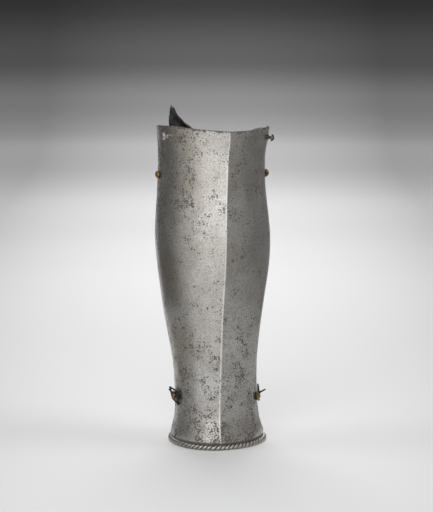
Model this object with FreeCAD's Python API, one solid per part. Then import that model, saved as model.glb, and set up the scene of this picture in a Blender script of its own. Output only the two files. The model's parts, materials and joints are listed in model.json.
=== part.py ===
import FreeCAD, Part

import math
import os

from FreeCAD import Vector

# A closed greave for a lower leg, in millimetres, +Z up, shin to -Y, standing on its roped border.
# The shin plate is the fixed part. The calf plate hinges on the +X side and tucks inside on the -X side.

# Heights, measured from the ground
rim_height = 380.0          # top edge of the shin plate at its ridge
fin_height = 23.6           # tip of the calf plate above the rim
fin_setback = 7.0           # how far the calf plate's edge lies under the rim in front of the fin
heel_scoop = 18.5           # depth of the calf plate's scoop under the rim
upper_drop = 55.5           # upper brass caps and upper hinge under the rim
lower_height = 55.0         # lower brass caps and lower hinge above the ground
medial_lower_rise = 1.5     # the lower cap on the -X side stands this much higher

# Widths and depths of the leg, measured on the outside of the shin plate
calf_width = 138.8
shin_depth = 63.2           # from the side line forward to the ridge, at the calf
calf_depth = 63.5           # from the side line back, at the calf
leg_lean = 6.4              # how far the leg's middle leans to -X
calf_setback = 6.0          # how far the widest line moves back at the calf
ridge_sweep = 7.9           # how far the ridge leaves the middle of the leg
ridge_slope = 0.24          # rise of the ridge over its half width
side_fullness_share = 0.60
ridge_fullness_share = 0.50
back_fullness_share = 0.56

# Shape of the leg at each height, as shares of the sizes above
height_shares = (0, .034, .061, .087, .113, .15, .21, .27, .34, .42, .50, .58, .655, .73, .80, .87,
                 .915, .945, .97, 1.0, 1.09)
width_shares = (.822, .803, .762, .736, .723, .718, .720, .741, .793, .862, .925, .980, 1.0, .973,
                .938, .921, .925, .937, .957, .970, .987)
lean_shares = (0, .05, .11, .14, .19, .25, .34, .47, .62, .72, .67, .64, .73, .86, .98, 1.0, .94,
               .86, .75, .77, .77)
setback_shares = (0, 0, 0, 0, .05, .10, .20, .35, .50, .70, .85, .95, 1.0, .95, .90, .80, .75, .70,
                  .65, .60, .55)
shin_shares = (.918, .894, .859, .835, .823, .816, .823, .842, .878, .927, .965, .991, 1.0, .994,
               .979, .972, .975, .984, 1.0, 1.016, 1.04)
calf_shares = (.835, .811, .772, .740, .717, .698, .701, .724, .787, .874, .945, .989, 1.0, .969,
               .910, .850, .825, .816, .813, .813, .819)
ridge_shares = (-.85, -.82, -.78, -.74, -.69, -.63, -.48, -.32, -.17, -.02, .13, .28, .45, .62, .78,
                .91, .96, .98, 1.0, 1.0, 1.0)
slope_shares = (.50, .60, .70, .80, .85, .90, .95, 1.0, 1.0, 1.0, 1.0, 1.0, 1.0, 1.0, 1.0, 1.0, 1.0,
                1.0, 1.0, 1.0, 1.0)

# Plates
plate = 1.4                 # thickness of both plates
lap_gap = 0.4               # clearance between the shin plate and the calf plate inside it
medial_seam = 16.0          # rear edge of the shin plate on the -X side
medial_lap = 12.0           # how far the calf plate tucks inside it
rim_wave = 4.6              # how far the rim rises beside the ridge
rim_wave_at_shares = (-1.12, -.97, -.86, -.75, -.45, 0, .12, .47, .67, .78, .93, 1.12)
rim_wave_shares = (.70, .80, .98, 1.0, .56, .10, 0, 0, .15, .33, .05, 0)
rim_fall_start_share = .75  # the rim falls to the seam from this far in front of the side line

# Roped border
border_radius = 3.2
border_wire_radius = 1.5
border_out = 0.2            # border's middle inside the outer face of the plate
border_flat = 0.4           # flattened by standing on it
border_relief = 8.5         # the border stops this far either side of the hinge line

# Calf plate's edge, from the torn side of the fin round the back, as shares of half the calf width
# sideways and of the fin's height upwards
fin_side_shares = ((-.681, .0), (-.686, .20), (-.681, .30), (-.683, .42), (-.666, .52), (-.671, .57),
                   (-.661, .74), (-.647, .93))
fin_tip_share = (-.635, 1.0)
fin_sweep_shares = ((-.594, .87), (-.563, .65), (-.524, .49), (-.465, .33), (-.414, .17), (-.341, .0),
                    (-.272, -.15), (-.207, -.32))
scoop_shares = ((-.086, .70), (.072, .92), (.26, 1.0), (.46, .92), (.65, .65), (.81, .32), (.91, .16))
top_wire_radius = 1.2

# Hinges
hinge_line = 8.0            # how far behind the side line the hinge pins stand
hinge_setback = 5.0         # shin plate's rear edge in front of the hinge line
hinge_lap = 2.0             # calf plate's edge goes this far inside the shin plate
hinge_sunk = 0.4            # pins' middle inside the outer face
leaf_height = 13.0
leaf_thickness = 1.2
leaf_gap = 0.1
leaf_margin = 6.0           # leaf beyond its outermost rivet
knuckle_radius = 2.2
hinge_pin_radius = 1.0
hinge_pin_gap = 0.05
knuckle_gap = 0.2
middle_knuckle_share = 0.40
pin_head_radius = 1.7
pin_head_height = 0.8
notch_gap = 0.8             # room round a hinge in the calf plate
back_leaf_length = 19.0
leaf_rivet_spacing = 7.0
leaf_rivet_radius = 1.1
leaf_rivet_head_radius = 2.0
leaf_rivet_head_height = 0.8

# Brass-capped rivets, and how far in front of the side line each stands
cap_radius = 5.1
cap_height = 4.5
cap_wall = 0.5
cap_shank_radius = 1.5
medial_upper_forward = 5.0
lateral_upper_forward = 12.0
medial_lower_forward = 0.5
lateral_lower_forward = 20.0
burr_radius = 3.4
burr_height = 0.8
shank_gap = 0.05
capped_end_share = 1.5      # a shank's spread end over the shank itself

# Turning pins that hold the knee piece, in front of the side line and under the rim
medial_turning_forward = 28.0
medial_turning_drop = 7.3
lateral_turning_forward = 28.0
lateral_turning_drop = 11.0
turning_collar_radius = 2.7
turning_collar_height = 1.3
turning_neck_radius = 1.6
turning_reach = 7.8
turning_key_length = 8.4
turning_key_width = 5.2
turning_key_height = 3.2
turning_crown_share = 0.6   # radius of the key's crown over its length
turning_end_share = 1.4

# Lining band at the foot and its flush rivets
band_bottom = 9.5
band_height = 17.0
band_thickness = 1.8
band_gap = 0.15
lining_rivet_height = 13.0
lining_rivet_head_radius = 2.6
lining_rivet_proud = 0.35
lining_rivet_radius = 1.2
lining_washer_radius = 3.0
lining_washer_height = 0.6
lining_end_share = 1.6
front_lining_angles = (-74, -35.5, 2, 39, 76)
back_lining_angles = (118, 155, 192, 229)

# Ankle buckles: a chape strip under the brass cap, a frame on its bar, and a tongue
chape_width = 4.0
chape_thickness = 0.9
chape_margin = 4.2          # chape beyond its rivet
chape_levels = 6
roll_rise = 0.15            # the strip's roll lies this far over its underside
seat_gap = 0.05
inner_seat_gap = 0.15       # a flat washer in the hollow of a plate
bar_radius = 0.9
bar_gap = 0.06
frame_iron_radius = 0.8
tongue_radius = 0.75
tongue_tip_radius = 0.5
tongue_loop_wall = 0.8
tongue_loop_length = 2.0
tongue_rise = 1.65          # tongue's tip over the frame's far side
tongue_overhang = 1.5       # tongue's tip beyond the frame
tongue_side = 3.25          # tongue stands this far to one side of the chape
medial_reach = 16.5         # rivet to bar
medial_frame_length = 22.5
medial_frame_width = 16.6
medial_frame_slide = -0.4   # frame pushed along its bar, upwards
medial_frame_twist = 15.0   # degrees its far side leans out at the top
medial_frame_open = -5.5    # degrees the frame stands off the plate at its bar
medial_tongue_open = 0.0    # degrees the tongue stands off its frame
medial_sag = 0.0            # degrees the chape points down
medial_bar_lean = 5.0       # degrees the bar leans in its chape
lateral_reach = 9.5
lateral_frame_length = 14.0
lateral_frame_width = 17.5
lateral_frame_slide = 1.8
lateral_frame_twist = 0.0
lateral_frame_open = -4.0
lateral_tongue_open = 27.0
lateral_sag = 5.0
lateral_bar_lean = -7.0

levels = 28                 # sections in a plate's surface
leaf_levels = 4
band_levels = 6
overrun = 30.0
seam_x = 0.0

# Places worked out from the sizes
wide = calf_width
top_level = rim_height * height_shares[-1]
upper_height = rim_height - upper_drop
turning_places = {
    "medial": (-1, medial_turning_forward, rim_height - medial_turning_drop),
    "lateral": (1, lateral_turning_forward, rim_height - lateral_turning_drop),
}
hinge_heights = (upper_height, lower_height)
cap_places = {
    "medial_upper": (-1, medial_upper_forward, upper_height),
    "lateral_upper": (1, lateral_upper_forward, upper_height),
    "medial_lower": (-1, medial_lower_forward, lower_height + medial_lower_rise),
    "lateral_lower": (1, lateral_lower_forward, lower_height),
}
buckle_sizes = {
    "medial_lower": {
        "reach": medial_reach, "length": medial_frame_length, "width": medial_frame_width,
        "slide": medial_frame_slide, "twist": medial_frame_twist, "open": medial_frame_open,
        "tongue_open": medial_tongue_open, "sag": medial_sag, "bar_lean": medial_bar_lean,
    },
    "lateral_lower": {
        "reach": lateral_reach, "length": lateral_frame_length, "width": lateral_frame_width,
        "slide": lateral_frame_slide, "twist": lateral_frame_twist, "open": lateral_frame_open,
        "tongue_open": lateral_tongue_open, "sag": lateral_sag, "bar_lean": lateral_bar_lean,
    },
}
hinge_y = hinge_line
shin_edge = hinge_y - hinge_setback
calf_edge = shin_edge - hinge_lap
calf_medial_edge = medial_seam - medial_lap
calf_inset = plate + lap_gap
border_middle = border_radius - border_flat
border_top = border_middle + border_radius
relief_top = border_top + notch_gap


def smooth(shares, values, share):
    """Cubic curve through a table, without kinks."""
    last = len(shares) - 1
    i = 0
    while i < last - 1 and share > shares[i + 1]:
        i += 1
    span = shares[i + 1] - shares[i]
    s = (share - shares[i]) / span

    def slope(k):
        low = max(k - 1, 0)
        high = min(k + 1, last)
        return (values[high] - values[low]) / (shares[high] - shares[low])

    s2 = s * s
    s3 = s2 * s
    return (
        (2 * s3 - 3 * s2 + 1) * values[i]
        + (s3 - 2 * s2 + s) * span * slope(i)
        + (3 * s2 - 2 * s3) * values[i + 1]
        + (s3 - s2) * span * slope(i + 1)
    )


def measures(z):
    """The leg's section at a height: middle, half width, ridge and calf."""
    share = z / rim_height
    half = calf_width / 2 * smooth(height_shares, width_shares, share)
    middle = -leg_lean * smooth(height_shares, lean_shares, share)
    side = calf_setback * smooth(height_shares, setback_shares, share)
    shin = -shin_depth * smooth(height_shares, shin_shares, share)
    calf = calf_depth * smooth(height_shares, calf_shares, share)
    ridge = middle + ridge_sweep * smooth(height_shares, ridge_shares, share)
    slope = ridge_slope * smooth(height_shares, slope_shares, share)
    return middle, half, side, shin, calf, ridge, slope


def quarter_poles(z, inset, rounded=False):
    """Poles of the four quarter curves: +X to ridge, ridge to -X, -X to calf, calf to +X."""
    middle, half, side, shin, calf, ridge, slope = measures(z)
    if rounded:
        slope = 0
    half -= inset
    shin += inset * math.sqrt(1 + slope * slope)
    calf -= inset
    right = Vector(middle + half, side, z)
    left = Vector(middle - half, side, z)
    front = Vector(ridge, shin, z)
    back = Vector(middle, calf, z)
    deep = side_fullness_share * (side - shin)
    rear = back_fullness_share * (calf - side)
    toward_right = ridge_fullness_share * (right.x - ridge)
    toward_left = ridge_fullness_share * (ridge - left.x)
    wide = back_fullness_share * half
    return (
        (right, right - Vector(0, deep, 0), front + Vector(toward_right, slope * toward_right, 0), front),
        (front, front + Vector(-toward_left, slope * toward_left, 0), left - Vector(0, deep, 0), left),
        (left, left + Vector(0, rear, 0), back - Vector(wide, 0, 0), back),
        (back, back + Vector(wide, 0, 0), right + Vector(0, rear, 0), right),
    )


def section(z, inset, rounded=False):
    edges = []
    for poles in quarter_poles(z, inset, rounded):
        curve = Part.BezierCurve()
        curve.setPoles(list(poles))
        edges.append(curve.toShape())
    return Part.Wire(edges)


def bezier(poles, s):
    a = 1 - s
    start = poles[0] * (a ** 3) + poles[1] * (3 * a * a * s)
    return start + poles[2] * (3 * a * s * s) + poles[3] * (s ** 3)


def find(function, low, high):
    """Where a rising or falling function is zero."""
    rising = function(high) > function(low)
    for step in range(60):
        middle = (low + high) / 2
        if (function(middle) > 0) == rising:
            high = middle
        else:
            low = middle
    return (low + high) / 2


def side_point(sign, y, z, inset=0.0):
    """Point of the surface on the +X or -X side, at a given y and height."""
    quarters = quarter_poles(z, inset)
    behind = y > quarters[0][0].y
    if sign > 0:
        poles = quarters[3] if behind else quarters[0]
    else:
        poles = quarters[2] if behind else quarters[1]
    s = find(lambda t: bezier(poles, t).y - y, 0, 1)
    return bezier(poles, s)


def angle_point(degrees, z, inset=0.0):
    """Point of the surface at an angle from the front about the leg's middle."""
    middle, half, side = measures(z)[:3]
    angle = math.radians(degrees)
    aim = Vector(math.cos(angle), math.sin(angle), 0)
    quarters = quarter_poles(z, inset)
    index = {0: 0, 1: 3, 2: 2, 3: 1}[int(degrees % 360 // 90)]
    poles = quarters[index]
    s = find(lambda t: (bezier(poles, t) - Vector(middle, side, z)).dot(aim), 0, 1)
    return bezier(poles, s)


def frame_at(place):
    """Point and outward normal from a function of a small turn and a small rise."""
    nudge = 0.001 * calf_width
    point = place(0, 0)
    around = place(nudge, 0) - place(-nudge, 0)
    up = place(0, nudge) - place(0, -nudge)
    normal = around.cross(up)
    normal.normalize()
    outward = Vector(point.x, point.y, 0)
    if normal.dot(outward) < 0:
        normal = normal * -1
    return point, normal


def side_frame(sign, y, z, inset=0.0):
    return frame_at(lambda dy, dz: side_point(sign, y + dy, z + dz, inset))


def angle_frame(degrees, z, inset=0.0):
    turn = 360 / (math.pi * calf_width)
    return frame_at(lambda dy, dz: angle_point(degrees + dy * turn, z + dz, inset))


def placed(shape, point, normal, along=None):
    """Moves a shape built at the origin: its Z to the normal, its X along a direction."""
    along = Vector(0, 0, 1) if along is None else Vector(along)
    along = along - normal * along.dot(normal)
    along.normalize()
    across = normal.cross(along)
    matrix = FreeCAD.Matrix(
        along.x, across.x, normal.x, point.x,
        along.y, across.y, normal.y, point.y,
        along.z, across.z, normal.z, point.z,
        0, 0, 0, 1,
    )
    moved = shape.copy()
    moved.Placement = FreeCAD.Placement(matrix).multiply(shape.Placement)
    return moved


def body_between(low, high, inset, count, rounded=False):
    """Solid inside a surface that lies at an inset under the outer one."""
    wires = []
    for i in range(count + 1):
        z = low + (high - low) * (1 - math.cos(math.pi * i / count)) / 2
        wires.append(section(z, inset, rounded))
    return Part.makeLoft(wires, True, False)


def shell(low, high, outer, inner, count):
    return body_between(low, high, outer, count).cut(body_between(low, high, inner, count))


def block(x0, x1, y0, y1, z0, z1):
    return Part.makeBox(x1 - x0, y1 - y0, z1 - z0, Vector(x0, y0, z0))


def rod(radius, start, end, extra=0.0):
    axis = end - start
    length = axis.Length
    axis.normalize()
    return Part.makeCylinder(radius, length + 2 * extra, start - axis * extra, axis)


def hinge_point(z):
    """Where the hinge line passes a height: straight through both hinges."""
    low = side_point(1, hinge_y, hinge_heights[1], hinge_sunk)
    high = side_point(1, hinge_y, hinge_heights[0], hinge_sunk)
    share = (z - low.z) / (high.z - low.z)
    return low + (high - low) * share


def hinge_direction():
    direction = hinge_point(rim_height) - hinge_point(0)
    direction.normalize()
    return direction


def above_profile(points, y0, y1):
    """Everything above a line of (x, z) points, from y0 to y1."""
    curve = Part.BSplineCurve()
    curve.interpolate([Vector(x, y0, z) for x, z in points])
    first = Vector(points[0][0], y0, points[0][1])
    last = Vector(points[-1][0], y0, points[-1][1])
    ceiling = top_level + overrun
    first_up = Vector(first.x, y0, ceiling)
    last_up = Vector(last.x, y0, ceiling)
    wire = Part.Wire([
        curve.toShape(),
        Part.makeLine(last, last_up),
        Part.makeLine(last_up, first_up),
        Part.makeLine(first_up, first),
    ])
    return Part.Face(wire).extrude(Vector(0, y1 - y0, 0))


def at_rim(x_share, rise):
    """(x, z) of a place at the rim, from a share of half the width and a rise over it."""
    middle = measures(rim_height)[0]
    return middle + x_share * calf_width / 2, rim_height + rise


def rim_points():
    return [at_rim(x, z * rim_wave) for x, z in zip(rim_wave_at_shares, rim_wave_shares)]


def above_rear_corner():
    """What is cut off where the rim falls toward the medial seam."""
    x0 = -wide
    start = Vector(x0, -medial_seam * rim_fall_start_share, rim_height + rim_wave)
    end = Vector(x0, medial_seam + lap_gap, rim_height)
    end_up = Vector(x0, end.y, top_level)
    start_up = Vector(x0, start.y, top_level)
    face = Part.Face(Part.makePolygon([start, end, end_up, start_up, start]))
    return face.extrude(Vector(wide - calf_width / 4, 0, 0))


def in_fin(x_share, z_share):
    return at_rim(x_share, z_share * fin_height)


def sweep_points():
    """The calf plate's turned edge from the fin's tip round the back, as (x, z)."""
    points = [in_fin(*fin_tip_share)]
    points += [in_fin(x, z) for x, z in fin_sweep_shares]
    points += [at_rim(x, -z * heel_scoop) for x, z in scoop_shares]
    return points


def above_calf_edge():
    """What is cut off over the calf plate: in front of the fin, its torn side, and the sweep."""
    y0 = -wide
    torn = [in_fin(x, z) for x, z in fin_side_shares]
    sweep = sweep_points()
    ledge = rim_height - fin_setback
    ceiling = top_level + overrun
    corner = Vector(torn[0][0], y0, ledge)
    start = Vector(-wide, y0, ledge)
    side = [corner] + [Vector(x, y0, z) for x, z in torn] + [Vector(sweep[0][0], y0, sweep[0][1])]
    edges = [Part.makeLine(start, corner)]
    edges += [Part.makeLine(a, b) for a, b in zip(side, side[1:])]
    curve = Part.BSplineCurve()
    curve.interpolate([Vector(x, y0, z) for x, z in sweep])
    edges.append(curve.toShape())
    last = Vector(sweep[-1][0], y0, sweep[-1][1])
    end = Vector(wide, y0, sweep[-1][1])
    end_up = Vector(wide, y0, ceiling)
    start_up = Vector(-wide, y0, ceiling)
    edges.append(Part.makeLine(last, end))
    edges.append(Part.makeLine(end, end_up))
    edges.append(Part.makeLine(end_up, start_up))
    edges.append(Part.makeLine(start_up, start))
    return Part.Face(Part.Wire(edges)).extrude(Vector(0, 2 * wide, 0))


def behind_shin():
    """Space behind the shin plate's two rear edges."""
    low = -overrun
    high = top_level + overrun
    return [
        block(-wide, seam_x, medial_seam, wide, low, high),
        block(seam_x, wide, shin_edge, wide, low, high),
    ]


def before_calf():
    """Space in front of the calf plate's two edges."""
    low = -overrun
    high = top_level + overrun
    return [
        block(-wide, seam_x, -wide, calf_medial_edge, low, high),
        block(seam_x, wide, -wide, calf_edge, low, high),
    ]


def border_ring(radius):
    """A round bar that follows the foot of the plates all the way round."""
    path = section(border_middle, border_out, True)
    start = quarter_poles(border_middle, border_out, True)[0][0]
    profile = Part.Wire([Part.makeCircle(radius, start, Vector(0, -1, 0))])
    return path.makePipeShell([profile], True, False)


def front_part(shape, gap):
    """Keeps what lies before the medial seam and before the hinge line's relief."""
    low = -overrun
    shape = shape.cut(block(-wide, seam_x, medial_seam - gap, wide, low, rim_height))
    return shape.cut(block(seam_x, wide, hinge_y - border_relief, wide, low, rim_height))


def back_part(shape, gap):
    low = -overrun
    shape = shape.cut(block(-wide, seam_x, -wide, medial_seam + gap, low, rim_height))
    return shape.cut(block(seam_x, wide, -wide, hinge_y + border_relief, low, rim_height))


def borders():
    """The two roped borders, their wires, and the round bar that the plates stand on."""
    outer = border_ring(border_radius)
    hollow = border_ring(border_wire_radius + shank_gap)
    wire = border_ring(border_wire_radius)
    ground = block(-wide, wide, -wide, wide, -overrun, 0)
    ring = outer.cut(hollow).cut(ground)
    half_gap = lap_gap / 2
    return {
        "front_border": front_part(ring, half_gap),
        "back_border": back_part(ring, half_gap),
        "front_border_wire": front_part(wire, half_gap),
        "back_border_wire": back_part(wire, half_gap),
    }, outer


def hinge_notch(z, edge, margin):
    reach = leaf_height / 2 + pin_head_height + margin
    return block(seam_x, wide, edge, hinge_y + knuckle_radius + margin, z - reach, z + reach)


def shin_plate(foot):
    plate_shape = shell(border_middle, top_level, 0, plate, levels)
    for space in behind_shin():
        plate_shape = plate_shape.cut(space)
    plate_shape = plate_shape.cut(above_profile(rim_points(), -wide, wide)).cut(above_rear_corner())
    relief = block(seam_x, wide, hinge_y - border_relief, wide, -overrun, relief_top)
    return plate_shape.cut(foot).cut(relief)


def calf_plate(foot):
    plate_shape = shell(border_middle, top_level, calf_inset, calf_inset + plate, levels)
    for space in before_calf():
        plate_shape = plate_shape.cut(space)
    plate_shape = plate_shape.cut(above_calf_edge())
    low = -overrun
    medial_relief = block(-wide, seam_x, -wide, medial_seam + lap_gap, low, relief_top)
    lateral_relief = block(seam_x, wide, -wide, hinge_y + border_relief, low, relief_top)
    plate_shape = plate_shape.cut(foot).cut(medial_relief).cut(lateral_relief)
    for z in hinge_heights:
        plate_shape = plate_shape.cut(hinge_notch(z, -wide, notch_gap))
    return plate_shape


def top_wire():
    """Wire in the calf plate's turned edge, from the fin's tip round the scoop."""
    inset = calf_inset + plate + inner_seat_gap + top_wire_radius
    points = []
    for x, z in sweep_points():
        height = z - 2 * top_wire_radius
        quarters = quarter_poles(height, inset)
        poles = quarters[2] if x < quarters[3][0].x else quarters[3]
        s = find(lambda t: bezier(poles, t).x - x, 0, 1)
        points.append(bezier(poles, s))
    curve = Part.BSplineCurve()
    curve.interpolate(points)
    rings = []
    count = 2 * len(points)
    for i in range(count + 1):
        u = curve.FirstParameter + (curve.LastParameter - curve.FirstParameter) * i / count
        point = curve.value(u)
        outward = Vector(point.x, point.y, 0)
        ring = placed(Part.makeCircle(top_wire_radius), point, curve.tangent(u)[0], outward)
        rings.append(Part.Wire([ring]))
    return Part.makeLoft(rings, True, False)


def knuckles(z, radius, middle, room):
    """The middle knuckle, or the two outer ones, as bars along the hinge line."""
    direction = hinge_direction()
    center = hinge_point(z)
    inner = leaf_height * middle_knuckle_share / 2
    if middle:
        return [rod(radius, center - direction * (inner + room), center + direction * (inner + room))]
    start = inner + knuckle_gap - room
    end = leaf_height / 2 + room
    bars = []
    for side in (1, -1):
        way = direction * side
        bars.append(rod(radius, center + way * start, center + way * end))
    return bars


def leaf(z, inset, y0, y1, middle):
    low = z - leaf_height / 2
    high = z + leaf_height / 2
    strip = shell(low, high, inset, inset + leaf_thickness, leaf_levels)
    strip = strip.common(block(seam_x, wide, y0, y1, low, high))
    for bar in knuckles(z, knuckle_radius + knuckle_gap, not middle, knuckle_gap):
        strip = strip.cut(bar)
    for bar in knuckles(z, knuckle_radius, middle, 0):
        strip = strip.fuse(bar)
    hole = rod(hinge_pin_radius + hinge_pin_gap, hinge_point(low), hinge_point(high), overrun)
    return strip.cut(hole).removeSplitter()


def hinge_pin(z):
    direction = hinge_direction()
    half = leaf_height / 2 + knuckle_gap
    center = hinge_point(z)
    pin = rod(hinge_pin_radius, center - direction * half, center + direction * half)
    for side in (1, -1):
        start = center + direction * half * side
        pin = pin.fuse(rod(pin_head_radius, start, start + direction * pin_head_height * side))
    return pin.removeSplitter()


def domed_head(radius, height):
    ball = (radius * radius + height * height) / (2 * height)
    head = Part.makeSphere(ball, Vector(0, 0, height - ball))
    return head.common(Part.makeCylinder(radius + height, height + ball))


def rivet(head_radius, head_height, shank_radius, grip, burr, burr_thickness, gap):
    """Head above the origin, shank down through the grip, and a spread end under it."""
    shape = domed_head(head_radius, head_height)
    shape.translate(Vector(0, 0, seat_gap))
    bottom = grip + gap
    shank = Part.makeCylinder(shank_radius, bottom + burr_thickness + 2 * seat_gap,
                              Vector(0, 0, -bottom - burr_thickness))
    end = Part.makeCylinder(burr, burr_thickness, Vector(0, 0, -bottom - burr_thickness))
    return shape.fuse(shank).fuse(end).removeSplitter()


def shank_hole(radius, grip):
    bottom = -grip - 2 * burr_radius
    return Part.makeCylinder(radius + shank_gap, grip + 4 * burr_radius, Vector(0, 0, bottom))


def washer(radius, hole, thickness, top):
    ring = Part.makeCylinder(radius, thickness, Vector(0, 0, top - thickness))
    return ring.cut(Part.makeCylinder(hole + shank_gap, 3 * thickness, Vector(0, 0, top - 2 * thickness)))


def cap_frame(name):
    sign, forward, z = cap_places[name]
    return side_frame(sign, measures(z)[2] - forward, z)


def cap_seat(name):
    """Height of a cap over the plate: the lower two stand on a chape."""
    return chape_thickness + 2 * seat_gap if name.endswith("lower") else 2 * seat_gap


def cap_grip(name):
    """Thickness of what a cap's rivet holds under the plate's outer face."""
    return plate + (leaf_gap + leaf_thickness if name.startswith("lateral") else 0)


def cap_fasteners():
    caps = []
    shanks = []
    burrs = []
    ball = (cap_radius * cap_radius + cap_height * cap_height) / (2 * cap_height)
    for name in cap_places:
        point, normal = cap_frame(name)
        seat = cap_seat(name)
        grip = cap_grip(name) + inner_seat_gap
        hollow = Part.makeSphere(ball - cap_wall, Vector(0, 0, cap_height - ball))
        cap = domed_head(cap_radius, cap_height).cut(hollow)
        cap.translate(Vector(0, 0, seat + seat_gap))
        core = Part.makeSphere(ball - cap_wall - seat_gap, Vector(0, 0, cap_height - ball))
        core = core.common(Part.makeCylinder(cap_radius, cap_height))
        core.translate(Vector(0, 0, seat + seat_gap))
        bottom = grip + burr_height + 2 * seat_gap
        shank = Part.makeCylinder(cap_shank_radius, bottom + burr_height + seat + 2 * seat_gap,
                                  Vector(0, 0, -bottom - burr_height))
        end_radius = cap_shank_radius * capped_end_share
        end = Part.makeCylinder(end_radius, burr_height, Vector(0, 0, -bottom - burr_height))
        caps.append(placed(cap, point, normal))
        shanks.append(placed(core.fuse(shank).fuse(end).removeSplitter(), point, normal))
        burrs.append(placed(washer(burr_radius, cap_shank_radius, burr_height, -grip), point, normal))
    return {"brass_rivet_caps": caps, "capped_rivets": shanks, "capped_rivet_burrs": burrs}


def cap_holes(names, depth):
    holes = []
    for name in names:
        point, normal = cap_frame(name)
        holes.append(placed(shank_hole(cap_shank_radius, depth), point, normal))
    return holes


def leaf_rivet_frames(z):
    frames = []
    inset = calf_inset - leaf_gap - leaf_thickness
    for k in range(2):
        y = hinge_y + back_leaf_length - 2 * leaf_rivet_head_radius - k * leaf_rivet_spacing
        frames.append(side_frame(1, y, z, inset))
    return frames


def leaf_rivets():
    grip = leaf_thickness + leaf_gap + plate
    shapes = []
    for z in hinge_heights:
        for point, normal in leaf_rivet_frames(z):
            pin = rivet(leaf_rivet_head_radius, leaf_rivet_head_height, leaf_rivet_radius, grip,
                        leaf_rivet_head_radius, leaf_rivet_head_height, inner_seat_gap)
            shapes.append(placed(pin, point, normal))
    return shapes


def leaf_holes(z):
    hole = shank_hole(leaf_rivet_radius, plate)
    return [placed(hole, point, normal) for point, normal in leaf_rivet_frames(z)]


def turning_frame(name):
    sign, forward, z = turning_places[name]
    return side_frame(sign, measures(z)[2] - forward, z)


def turning_pin():
    """A pin whose oblong head locks the knee piece when it is turned."""
    collar = Part.makeCylinder(turning_collar_radius, turning_collar_height, Vector(0, 0, 2 * seat_gap))
    grip = plate + inner_seat_gap + burr_height + 2 * seat_gap
    neck_length = grip + burr_height + turning_reach - turning_key_height / 2
    neck = Part.makeCylinder(turning_neck_radius, neck_length, Vector(0, 0, -grip - burr_height))
    end_radius = turning_neck_radius * turning_end_share
    end = Part.makeCylinder(end_radius, burr_height, Vector(0, 0, -grip - burr_height))
    half = turning_key_width / 2
    straight = turning_key_length - turning_key_width
    base = turning_reach - turning_key_height
    key = Part.makeBox(straight, turning_key_width, turning_key_height, Vector(-straight / 2, -half, base))
    for side in (1, -1):
        key = key.fuse(Part.makeCylinder(half, turning_key_height, Vector(side * straight / 2, 0, base)))
    key = key.removeSplitter()
    crown_radius = turning_key_length * turning_crown_share
    crown = Part.makeSphere(crown_radius, Vector(0, 0, turning_reach - crown_radius))
    return key.common(crown).fuse(neck).fuse(collar).fuse(end).removeSplitter()


def turning_burr():
    return washer(burr_radius, turning_neck_radius, burr_height, -plate - inner_seat_gap)


def turning_hole(name):
    point, normal = turning_frame(name)
    return placed(shank_hole(turning_neck_radius, plate), point, normal)


def lining_band(front):
    """Leather inside one plate's foot; the front one leaves room for the calf plate's edge to swing in."""
    low = band_bottom
    high = band_bottom + band_height
    inset = band_gap + plate + (0 if front else calf_inset)
    band = shell(low, high, inset, inset + band_thickness, band_levels)
    room = lap_gap + seat_gap
    if front:
        swing = math.hypot(hinge_y - calf_edge, calf_inset + plate) - (hinge_y - calf_edge)
        lateral_end = calf_edge - swing - 2 * room
        band = band.cut(block(-wide, seam_x, calf_medial_edge - room, wide, low, high))
        return band.cut(block(seam_x, wide, lateral_end, wide, low, high))
    band = band.cut(block(-wide, seam_x, -wide, calf_medial_edge + room, low, high))
    return band.cut(block(seam_x, wide, -wide, shin_edge + room, low, high))


def lining_frames(front):
    angles = front_lining_angles if front else back_lining_angles
    return [angle_frame(angle, lining_rivet_height, 0 if front else calf_inset) for angle in angles]


def lining_rivets(front):
    grip = plate + band_gap + band_thickness + lining_washer_height + 2 * seat_gap
    rivets = []
    washers = []
    for point, normal in lining_frames(front):
        pin = rivet(lining_rivet_head_radius, lining_rivet_proud, lining_rivet_radius, grip,
                    lining_rivet_radius * lining_end_share, lining_washer_height, inner_seat_gap)
        ring = washer(lining_washer_radius, lining_rivet_radius, lining_washer_height,
                      -plate - band_gap - band_thickness - inner_seat_gap)
        rivets.append(placed(pin, point, normal))
        washers.append(placed(ring, point, normal))
    return rivets, washers


def lining_holes(front):
    return [placed(shank_hole(lining_rivet_radius, plate + band_thickness), point, normal)
            for point, normal in lining_frames(front)]


def bar_lift():
    """Height of a buckle's bar over the plate: the roll round it lies on the plate."""
    return seat_gap + roll_rise + bar_radius + bar_gap + chape_thickness


def strap_way(name, sag, folded):
    """Direction from a cap's rivet to its buckle's bar, along the plate."""
    normal = cap_frame(name)[1]
    level = Vector(0, 0, 1).cross(normal)
    level.normalize()
    forward = level if level.y < 0 else level * -1
    way = forward if folded else forward * -1
    angle = math.radians(sag)
    return way * math.cos(angle) - Vector(0, 0, 1) * math.sin(angle)


def bar_frame(name, reach, way):
    """Middle of a buckle's bar and the plate's outward direction under it."""
    point = cap_frame(name)[0] + way * reach
    surface, normal = side_frame(cap_places[name][0], point.y, point.z)
    return surface + normal * bar_lift(), normal


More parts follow.
